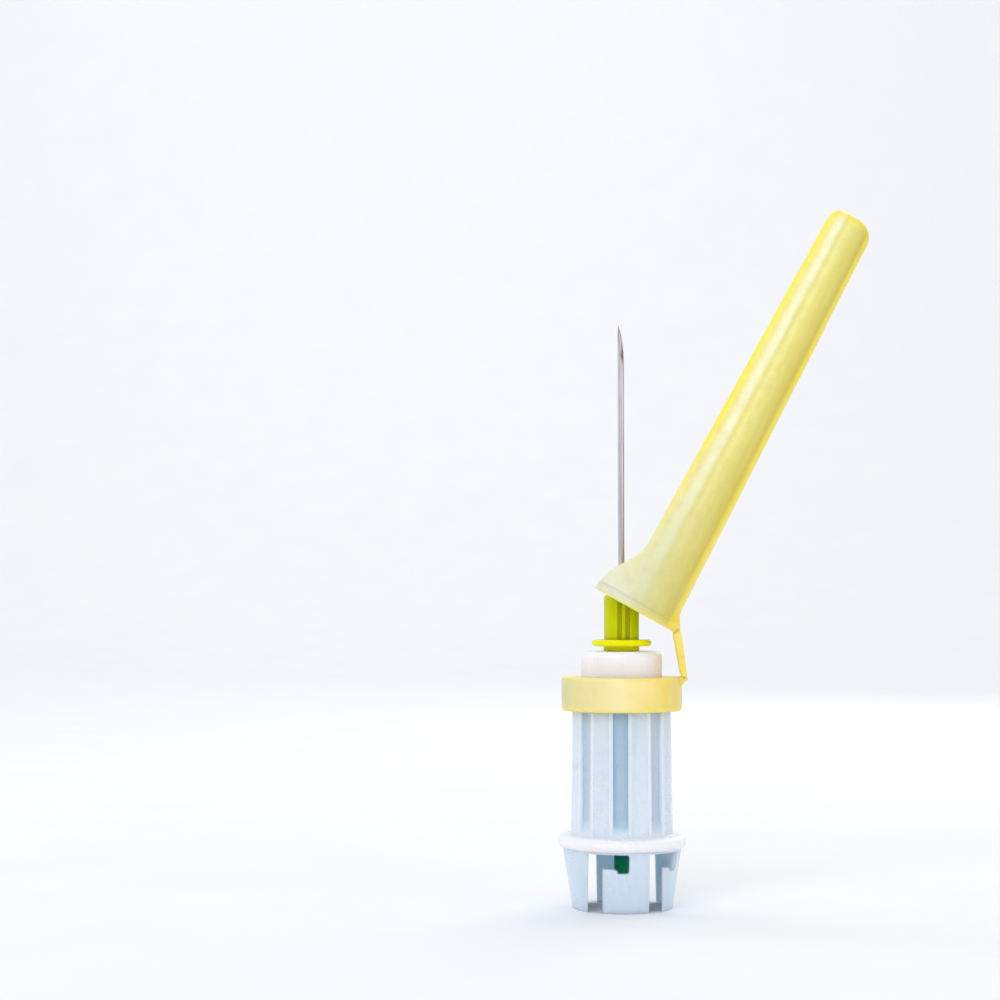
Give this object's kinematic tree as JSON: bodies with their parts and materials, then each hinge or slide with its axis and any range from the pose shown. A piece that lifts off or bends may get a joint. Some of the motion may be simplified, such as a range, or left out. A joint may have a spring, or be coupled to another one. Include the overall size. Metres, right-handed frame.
{
  "type": "safety blood collection needle",
  "caption": "Double-ended blood collection needle in a colour-coded hub on a bayonet tube holder, with a hinged trough guard that folds over the needle.",
  "frame": {"origin": "on the needle's axis, in the plane of the holder's feet", "axes": "+Z along the needle towards its front point, +X towards the side that the guard folds out to, -Y towards the viewer"},
  "size_m": [0.0446, 0.0182, 0.0986],
  "materials": {
    "cannula_steel": "ground and polished stainless tube",
    "clear_adhesive": "clear cured adhesive",
    "hub_yellow": "glossy translucent yellow moulding",
    "green_rubber": "satin dark green rubber",
    "milky_holder_plastic": "milky translucent polypropylene",
    "pale_yellow_collar": "pale yellow translucent polypropylene",
    "pale_yellow_strap": "pale yellow translucent polypropylene",
    "yellow_guard_plastic": "yellow translucent polypropylene"
  },
  "bodies": {
    "needle_and_holder": {"cannula": "cannula_steel", "adhesive_bead": "clear_adhesive", "needle_hub": "hub_yellow", "valve_sleeve": "green_rubber", "holder": "milky_holder_plastic", "guard_collar": "pale_yellow_collar"},
    "strap": {"guard_strap": "pale_yellow_strap"},
    "guard": {"guard": "yellow_guard_plastic"}
  },
  "joints": [
    {"name": "strap_hinge", "type": "hinge", "parent": "needle_and_holder", "child": "strap", "pos_m": [0.0088, 0, 0.03267], "axis": [0, 1, 0], "range_deg": [-20, 68]},
    {"name": "guard_hinge", "type": "hinge", "parent": "strap", "child": "guard", "pos_m": [0.00813, 0, 0.03825], "axis": [0, 1, 0], "range_deg": [-7.1, 24.1]}
  ]
}
